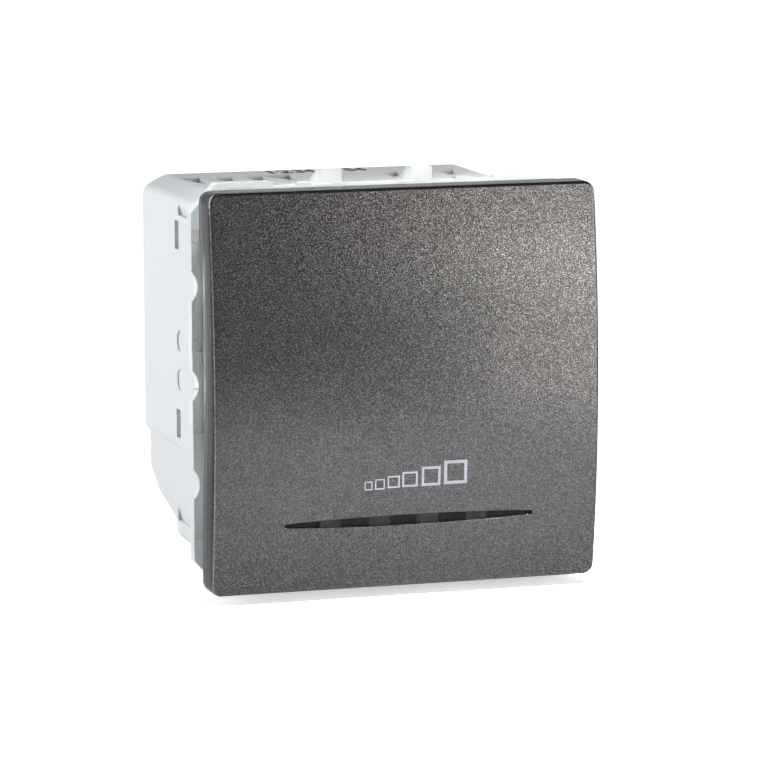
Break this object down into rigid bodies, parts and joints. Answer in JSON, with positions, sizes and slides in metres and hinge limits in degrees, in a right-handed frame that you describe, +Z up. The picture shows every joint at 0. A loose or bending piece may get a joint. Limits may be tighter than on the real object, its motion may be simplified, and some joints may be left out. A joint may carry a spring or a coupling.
{
  "type": "pushbutton dimmer switch",
  "caption": "Square pushbutton dimmer module with a curved hinged front key, a light slot, snap clips and a rear housing with screw terminals.",
  "frame": {"origin": "centre of the seat plane, where the flange rests on the wall frame", "axes": "+X to the right seen from the front, +Y into the wall, +Z up"},
  "size_m": [0.0448, 0.0391, 0.0472],
  "materials": {
    "key_graphite": "satin metallic paint on moulded plastic",
    "smoky_window": "smoky clear plastic",
    "pale_plastic": "fine moulded texture",
    "white_plastic": "smooth",
    "black_plastic": "matte",
    "clear_plastic": "polished clear plastic",
    "spring_steel": "drawn wire",
    "zinc_steel": "zinc plated",
    "board": "solder mask",
    "lamp": "lamp body",
    "aluminium": "sheet",
    "ferrite": "sintered",
    "copper": "enamelled copper wire",
    "film_blue": "moulded",
    "capacitor_can": "sleeved can",
    "ceramic": "ceramic with metal caps",
    "varistor_blue": "lacquered disc",
    "brass": "bright"
  },
  "bodies": {
    "root": {"front_frame": "pale_plastic", "rear_housing": "pale_plastic", "terminal_block": "pale_plastic", "return_spring": "spring_steel", "switch_body": "black_plastic", "control_board": "board", "board_screws": "zinc_steel", "controller_chip": "black_plastic", "chip_resistors": "black_plastic", "indicator_led": "lamp", "light_pipe": "clear_plastic", "heat_plate": "aluminium", "power_transistor": "black_plastic", "plate_rivet": "aluminium", "choke_core": "ferrite", "choke_winding": "copper", "film_capacitor": "film_blue", "bulk_capacitor": "capacitor_can", "fuse": "ceramic", "varistor": "varistor_blue", "contact_strip_1": "brass", "contact_strip_2": "brass", "contact_strip_3": "brass"},
    "key": {"key_cover": "key_graphite", "slot_window": "smoky_window"},
    "plunger": {"plunger": "white_plastic"},
    "button": {"switch_button": "white_plastic"},
    "cage_1": {"terminal_cage_1": "zinc_steel"},
    "screw_1": {"terminal_screw_1": "zinc_steel"},
    "cage_2": {"terminal_cage_2": "zinc_steel"},
    "screw_2": {"terminal_screw_2": "zinc_steel"},
    "cage_3": {"terminal_cage_3": "zinc_steel"},
    "screw_3": {"terminal_screw_3": "zinc_steel"}
  },
  "joints": [
    {"name": "key_press", "type": "hinge", "parent": "root", "child": "key", "pos_m": [0, -0.0049, 0.018], "axis": [1, 0, 0], "range_deg": [0, 1.25], "stiffness_Nm_per_rad": 2, "springref_deg": -1.72},
    {"name": "plunger_slide", "type": "slide", "parent": "root", "child": "plunger", "axis": [0, 1, 0], "range_m": [0, 0.00062], "deforming": ["return_spring"]},
    {"name": "button_slide", "type": "slide", "parent": "root", "child": "button", "axis": [0, 1, 0], "range_m": [0, 0.00062]},
    {"name": "cage_1_slide", "type": "slide", "parent": "root", "child": "cage_1", "axis": [0, 1, 0], "range_m": [0, 0.002]},
    {"name": "screw_1_turn", "type": "hinge", "parent": "root", "child": "screw_1", "pos_m": [-0.011, 0, -0.005], "axis": [0, -1, 0], "range_deg": [0, 1441]},
    {"name": "cage_2_slide", "type": "slide", "parent": "root", "child": "cage_2", "axis": [0, 1, 0], "range_m": [0, 0.002]},
    {"name": "screw_2_turn", "type": "hinge", "parent": "root", "child": "screw_2", "pos_m": [0, 0, -0.005], "axis": [0, -1, 0], "range_deg": [0, 1441]},
    {"name": "cage_3_slide", "type": "slide", "parent": "root", "child": "cage_3", "axis": [0, 1, 0], "range_m": [0, 0.002]},
    {"name": "screw_3_turn", "type": "hinge", "parent": "root", "child": "screw_3", "pos_m": [0.011, 0, -0.005], "axis": [0, -1, 0], "range_deg": [0, 1441]}
  ],
  "couplings": [
    {"joint": "plunger_slide", "follows": "key_press", "m_per_rad": 0.0275},
    {"joint": "button_slide", "follows": "key_press", "m_per_rad": 0.0275},
    {"joint": "screw_1_turn", "follows": "cage_1_slide", "rad_per_m": 12566},
    {"joint": "screw_2_turn", "follows": "cage_2_slide", "rad_per_m": 12566},
    {"joint": "screw_3_turn", "follows": "cage_3_slide", "rad_per_m": 12566}
  ]
}
